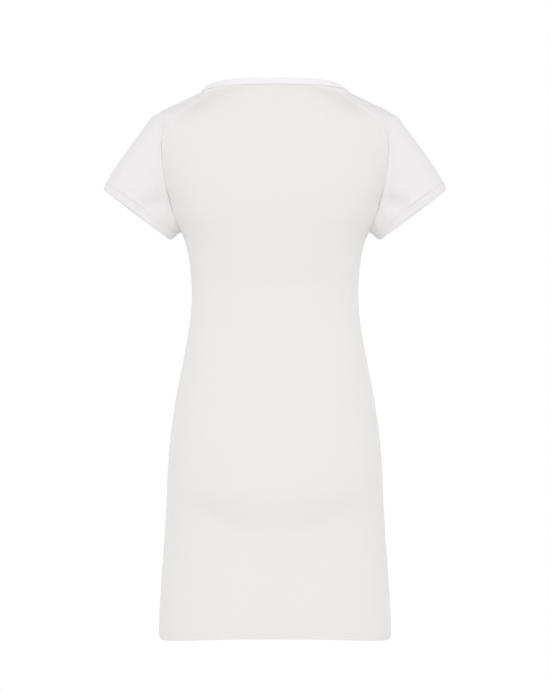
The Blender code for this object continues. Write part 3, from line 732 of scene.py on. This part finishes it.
def neck_loop():
    """The turns all round the neck, from the left shoulder's front seam by way of the back."""
    turns = NECK_SEAM_TURN * np.array([-1, 1, -1, 1, -1]) + np.pi * np.array([0, 0, 1, 1, 2])
    counts = (NECK_COLUMNS, BACK_NECK_COLUMNS) * 2
    return np.concatenate([np.linspace(*ends, endpoint=False) for ends in zip(turns, turns[1:], counts)])


def neck_band():
    """The band as a closed ring: a strip folded double, which starts on the neckline along the
    cloth's own slope, turns up from there, and has a round fold along its top. Its section is a
    profile of heights, in band widths, and depths, in walls, carried along the neckline."""
    turn = neck_loop()
    angle, z = neckline(turn)
    loop = on_form(angle, z)
    below = on_form(angle, z - 2 * MM)
    tangent = unit(np.roll(loop, -1, axis=0) - np.roll(loop, 1, axis=0))
    slope = loop - below
    slope = unit(slope - (slope * tangent).sum(1, keepdims=True) * tangent)
    upright = np.array([0.0, 0.0, 1.0]) - tangent[:, 2:] * tangent
    upness = BAND_STAND * (0.10 + 0.90 * np.abs(np.sin(turn)) ** 1.5)[:, None]
    stand = unit(slope * (1 - upness) + upright * upness)
    profile = [(-0.06, -0.10), (-0.03, 0.04), (0.03, 0.15), (0.12, 0.21), (0.3, 0.25), (0.55, 0.23),
               (0.8, 0.15), (0.93, 0.0), (0.985, -0.2), (1.0, -0.45), (0.985, -0.7), (0.93, -0.92),
               (0.8, -1.02), (0.5, -1.05), (0.2, -1.0), (0.0, -0.95), (-0.06, -0.8), (-0.08, -0.45)]
    rows, way = [], []
    for height, depth in profile:
        line = BAND_WIDTH * (slope * (height - height ** 2 / 2) + stand * height ** 2 / 2)
        along = slope * (1 - height) + stand * height
        out = unit(np.cross(tangent, along))
        rows.append(loop + line + out * (BAND_PROUD + BAND_WALL * depth))
        way.append(height * BAND_WIDTH)
    ring = np.array(rows + rows[:1])
    length = lengths_along(loop)
    weave = np.stack([np.broadcast_to(length, ring.shape[:2]),
                      np.broadcast_to(np.array(way + way[:1])[:, None], ring.shape[:2])], axis=-1)
    return merged(piece_from("neck_band_cloth", ring, cells(ring, closed=True), weave))


def beside_seam(grid, normal, distance, away, left):
    """The line on a panel's outer grid that runs at one distance beside its raglan seam, with its
    normals, by interpolation along each row."""
    side = slice(0, len(PANEL_EDGE)) if left else slice(-1, -len(PANEL_EDGE) - 1, -1)
    line = []
    for row, row_normal, row_distance in zip(grid[:, side], normal[:, side], distance[:, side]):
        values = np.concatenate([row, row_normal], axis=1)
        line.append([np.interp(away, row_distance, values[:, k]) for k in range(6)])
    return np.array(line)[:, :3], unit(np.array(line)[:, 3:])


def hem_line(surfaces, rows, depth):
    """The closed line of a row of hem stitches at one distance from the edge, over one or two grids."""
    row = int(np.argmin(np.abs(rows - depth)))
    line, normal = (np.concatenate([surface[k][row] for surface in surfaces]) for k in (0, 1))
    return np.concatenate([line, line[:1]]), np.concatenate([normal, normal[:1]])


def twin_rows(surfaces, rows, depth):
    """Both rows of stitches of a hem."""
    return [hem_line(surfaces, rows, at) for at in (depth, depth - NEEDLE_GAUGE)]


def read_line(values, run, at):
    """The points or normals of a line, read at places along its length."""
    return np.stack([np.interp(at, run, values[:, k]) for k in range(3)], axis=1)


def stitches(name, lines):
    """Rows of machine stitches as one mesh. Each is a short thread, round and bent so that its ends
    go into the cloth: a capsule along the line's tangent, copied to even places along each line."""
    along = np.linspace(-1, 1, 5)
    turn = np.linspace(0, 2 * np.pi, 7)[:-1]
    thick = THREAD_RADIUS * np.array([0.45, 0.95, 1.0, 0.95, 0.45])
    sag = THREAD_RADIUS * (0.55 - 1.5 * along ** 2)
    points, faces = [], []
    for line, normal in lines:
        run = lengths_along(line)
        count = int(round(run[-1] / STITCH_PITCH))
        at = (np.arange(count) + 0.5) / count * run[-1]
        centre, out = read_line(line, run, at), unit(read_line(normal, run, at))
        tangent = unit(read_line(line, run, at + MM) - read_line(line, run, at - MM))
        side = np.cross(tangent, out)
        reach = (along * STITCH_LENGTH / 2)[:, None, None]
        ring = (centre[:, None, None] + tangent[:, None, None] * reach
                + side[:, None, None] * (thick[:, None] * np.cos(turn))[..., None]
                + out[:, None, None] * (thick[:, None] * np.sin(turn) + sag[:, None])[..., None])
        start = sum(len(part) for part in points)
        size = ring.shape[1] * ring.shape[2]
        offset = start + size * np.arange(count)[:, None, None]
        points.append(ring.reshape(-1, 3))
        faces.append((cells(ring[0], closed=True)[None] + offset).reshape(-1, 4))
    return piece_from(name, np.concatenate(points), np.concatenate(faces))


class Shade:
    """A socket in a material's node tree, on which Python's operators add Math nodes."""

    def __init__(self, tree, socket):
        self.tree = tree
        self.socket = socket

    def node(self, kind, settings=None, output=0, **values):
        """Any other node: its type, its settings first, then the values or links of its sockets, by
        name, or by number after an i."""
        node = self.tree.nodes.new(kind)
        for key, value in (settings or {}).items():
            setattr(node, key, value)
        for key, value in values.items():
            socket = node.inputs[int(key[1:]) if key[1:].isdigit() else key]
            if isinstance(value, Shade):
                self.tree.links.new(value.socket, socket)
            else:
                socket.default_value = value
        return Shade(self.tree, node.outputs[output])

    def math(self, operation, *others):
        """A Math node on this value and, where the operation takes them, others."""
        return self.node("ShaderNodeMath", {"operation": operation},
                         **{f"i{k}": value for k, value in enumerate((self, *others))})

    def __add__(self, other):
        return self.math("ADD", other)

    def __sub__(self, other):
        return self.math("SUBTRACT", other)

    def __mul__(self, other):
        return self.math("MULTIPLY", other)

    def __truediv__(self, other):
        return self.math("DIVIDE", other)

    def ramp(self, stops):
        """Colours by this value, blended between stops, each a place and a colour."""
        tone = self.node("ShaderNodeValToRGB", Fac=self)
        elements = tone.socket.node.color_ramp.elements
        for element, (place, colour) in zip(elements, (stops[0], stops[-1])):
            element.position = place
            element.color = (*colour, 1)
        for place, colour in stops[1:-1]:
            elements.new(place).color = (*colour, 1)
        return tone


def new_material(name, settings):
    """A material whose surface has these settings. Returns the surface's node and a Shade to start
    other nodes from, too."""
    material = bpy.data.materials.new(name)
    material.use_nodes = True
    shader = material.node_tree.nodes["Principled BSDF"]
    for key, value in settings.items():
        shader.inputs[key].default_value = value
    return material, shader, Shade(material.node_tree, None)


def cloth_material(name, colour, rib=False):
    """White knitted cloth. Its bump has the columns of V-shaped stitches of jersey, by the weave's
    coordinates in metres, and a fine fuzz, and may have ribs. Its colour varies by a hair over larger
    patches."""
    material, shader, start = new_material(name, {"Roughness": 0.88, "Specular IOR Level": 0.25,
                                                  "Sheen Weight": 0.06, "Sheen Roughness": 0.5})
    place = start.node("ShaderNodeTexCoord", output=3)
    weave = start.node("ShaderNodeUVMap", {"uv_map": "weave"})
    across = start.node("ShaderNodeSeparateXYZ", Vector=weave)
    up = Shade(start.tree, across.socket.node.outputs[1])
    column = (across / WALE).math("FRACT")
    leg = (column - 0.5).math("ABSOLUTE")
    loops = ((up / COURSE + leg) * (2 * np.pi)).math("SINE")
    groove = (column * np.pi).math("SINE")
    knit = loops * 0.35 + groove * 0.65
    fuzz = start.node("ShaderNodeTexNoise", Vector=place, Scale=2600.0, Detail=3.0)
    height = knit + fuzz * 0.5
    if rib:
        height = height + (across * (2 * np.pi / RIB)).math("SINE") * 1.2
    bump = start.node("ShaderNodeBump", Height=height, Strength=KNIT_BUMP, Distance=0.15 * MM)
    start.tree.links.new(bump.socket, shader.inputs["Normal"])
    patches = start.node("ShaderNodeTexNoise", Vector=place, Scale=9.0, Detail=2.0)
    darker = [PATCH_TONE * channel for channel in colour]
    tone = patches.ramp([(0.35, darker), (0.65, colour)])
    start.tree.links.new(tone.socket, shader.inputs["Base Color"])
    return material


def thread_material():
    """White sewing thread, a little smoother than the cloth."""
    material, shader, start = new_material("white_thread", {"Roughness": 0.6})
    place = start.node("ShaderNodeTexCoord", output=3)
    strands = start.node("ShaderNodeTexNoise", Vector=place, Scale=900.0, Detail=2.0)
    tone = strands.ramp([(0.0, (0.78, 0.77, 0.77)), (1.0, (0.88, 0.87, 0.87))])
    start.tree.links.new(tone.socket, shader.inputs["Base Color"])
    bump = start.node("ShaderNodeBump", Height=strands, Strength=0.4, Distance=0.1 * MM)
    start.tree.links.new(bump.socket, shader.inputs["Normal"])
    return material


def studio():
    """The photo's setting: a white surround with a soft light of its own by height, a pale floor far
    below, a wide lamp behind the dress and another in front, and the camera."""
    world = bpy.data.worlds.new("white_surround")
    world.use_nodes = True
    tree = world.node_tree
    background = tree.nodes["Background"]
    background.inputs["Strength"].default_value = 1.0
    start = Shade(tree, None)
    direction = start.node("ShaderNodeTexCoord", output=0)
    upward = start.node("ShaderNodeSeparateXYZ", output=2, Vector=direction)
    sky = (upward * 0.5 + 0.5).ramp([(place, [strength] * 3) for place, strength in SKY])
    tree.links.new(sky.socket, background.inputs["Color"])
    camera_ray = start.node("ShaderNodeLightPath", output=0)
    seen = start.node("ShaderNodeBackground", Color=(1, 1, 1, 1), Strength=1.0)
    soft_light = Shade(tree, background.outputs[0])
    surround = start.node("ShaderNodeMixShader", i0=camera_ray, i1=soft_light, i2=seen)
    tree.links.new(surround.socket, tree.nodes["World Output"].inputs["Surface"])
    bpy.context.scene.world = world

    bpy.ops.mesh.primitive_circle_add(vertices=96, radius=2.4, fill_type="NGON")
    floor = bpy.context.object
    floor.name = "floor"
    floor.data.transform(Matrix.Translation((0, 0, FLOOR_Z)))
    pale, _, _ = new_material("pale_floor", {"Base Color": (0.8, 0.8, 0.8, 1), "Roughness": 0.9})
    floor.data.materials.append(pale)

    for name, place in (("lamp_behind", (0.0, 3.3, 0.7)), ("lamp_in_front", (0.0, -3.3, 0.7))):
        light = bpy.data.objects.new(name, bpy.data.lights.new(name, "AREA"))
        light.data.shape = "RECTANGLE"
        light.data.size, light.data.size_y = LIGHT_SIZE
        light.data.energy = LIGHT_POWER
        light.data.color = LIGHT_COLOUR
        light.location = place
        toward = Vector((0, 0, CAMERA_Z)) - Vector(place)
        light.rotation_euler = toward.to_track_quat("-Z", "Y").to_euler()
        bpy.context.scene.collection.objects.link(light)

    camera = bpy.data.objects.new("camera", bpy.data.cameras.new("camera"))
    camera.data.lens = LENS
    camera.data.sensor_width = 36
    camera.location = (0, CAMERA_DISTANCE, CAMERA_Z)
    camera.rotation_euler = (np.pi / 2, 0, np.pi)
    bpy.context.scene.collection.objects.link(camera)
    bpy.context.scene.camera = camera
    bpy.context.scene.view_settings.view_transform = "Standard"


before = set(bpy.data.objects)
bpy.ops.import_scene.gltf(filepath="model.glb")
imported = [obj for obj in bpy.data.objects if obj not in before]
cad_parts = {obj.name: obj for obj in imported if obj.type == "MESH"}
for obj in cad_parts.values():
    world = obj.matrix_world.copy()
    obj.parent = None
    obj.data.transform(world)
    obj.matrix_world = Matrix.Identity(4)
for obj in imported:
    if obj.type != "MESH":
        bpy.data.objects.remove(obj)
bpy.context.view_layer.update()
studio()
jersey = cloth_material("white_jersey_knit", (0.8600, 0.8440, 0.8420))
# The sleeves get a copy of the same jersey, a little lighter and bluer than the body's: painted light, for
# the cooler side light that the sleeves catch.
painted_light_sleeve_jersey = cloth_material("white_jersey_sleeves_painted_light", (0.8655, 0.8525, 0.8595))
# The band's white is lighter and bluer than the jersey's: painted light, brightened for the light that the
# band catches.
painted_light_rib_knit = cloth_material("white_rib_knit_painted_light", (0.925, 0.917, 0.940), rib=True)
thread = thread_material()

# All the grids first, so that points which panels and sleeves share get one normal
back_base, back_normal, near_hem = panel(behind=True)
front_base, front_normal, _ = panel(behind=False)
lens, tube, near_cuff, around = sleeve_grids()
lens, tube = rounded_fold(lens, tube)
flip = np.array([-1, 1, 1])
grids = [back_base, front_base, lens, tube, lens * flip, tube * flip]
normals = [back_normal, front_normal, -grid_normals(lens), grid_normals(tube, closed=True)]
normals += [normals[2] * flip, normals[3] * flip]
back_normal, front_normal, *sleeve_normals = share_normals(grids, normals)

seams = garment_seams()
sleeve_seams = [*seams, Seam(tube[:, 0], FLAT, FLAT)]
back, *back_surface = dress_panel("back_cloth", back_base, back_normal, near_hem, seams)
front, *front_surface = dress_panel("front_cloth", front_base, front_normal, near_hem, seams)
left, *left_surface = sleeve("sleeve_left_cloth", 1, grids[2:4], sleeve_normals[:2],
                             near_cuff, around, sleeve_seams)
right, *right_surface = sleeve("sleeve_right_cloth", -1, grids[4:], sleeve_normals[2:],
                               near_cuff, around, sleeve_seams)
band = neck_band()

for piece, node, material in ((back, "back", jersey), (front, "front", jersey),
                              (left, "sleeve_left", painted_light_sleeve_jersey), (right, "sleeve_right", painted_light_sleeve_jersey),
                              (band, "neck_band", painted_light_rib_knit)):
    piece.data.materials.append(material)
    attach(piece, "root")
    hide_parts(node)

rows_of_stitches = {
    "hem_stitches": twin_rows((back_surface, front_surface), near_hem, SKIRT_HEM),
    "cuff_stitches_left": twin_rows((left_surface,), near_cuff, CUFF_HEM),
    "cuff_stitches_right": twin_rows((right_surface,), near_cuff, CUFF_HEM),
}
bodice = slice(len(near_hem) + SKIRT_ROWS, None)
for panel_name, surface in (("back", back_surface), ("front", front_surface)):
    grid, normal, distance = (values[bodice] for values in surface)
    for side in ("left", "right"):
        on_left = (side == "left") == (panel_name == "back")
        line = beside_seam(grid, normal, distance, RIDGE_WIDTH, on_left)
        rows_of_stitches[f"raglan_stitches_{panel_name}_{side}"] = [line]
for name, lines in rows_of_stitches.items():
    piece = stitches(name, lines)
    piece.data.materials.append(thread)
    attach(piece, "root")
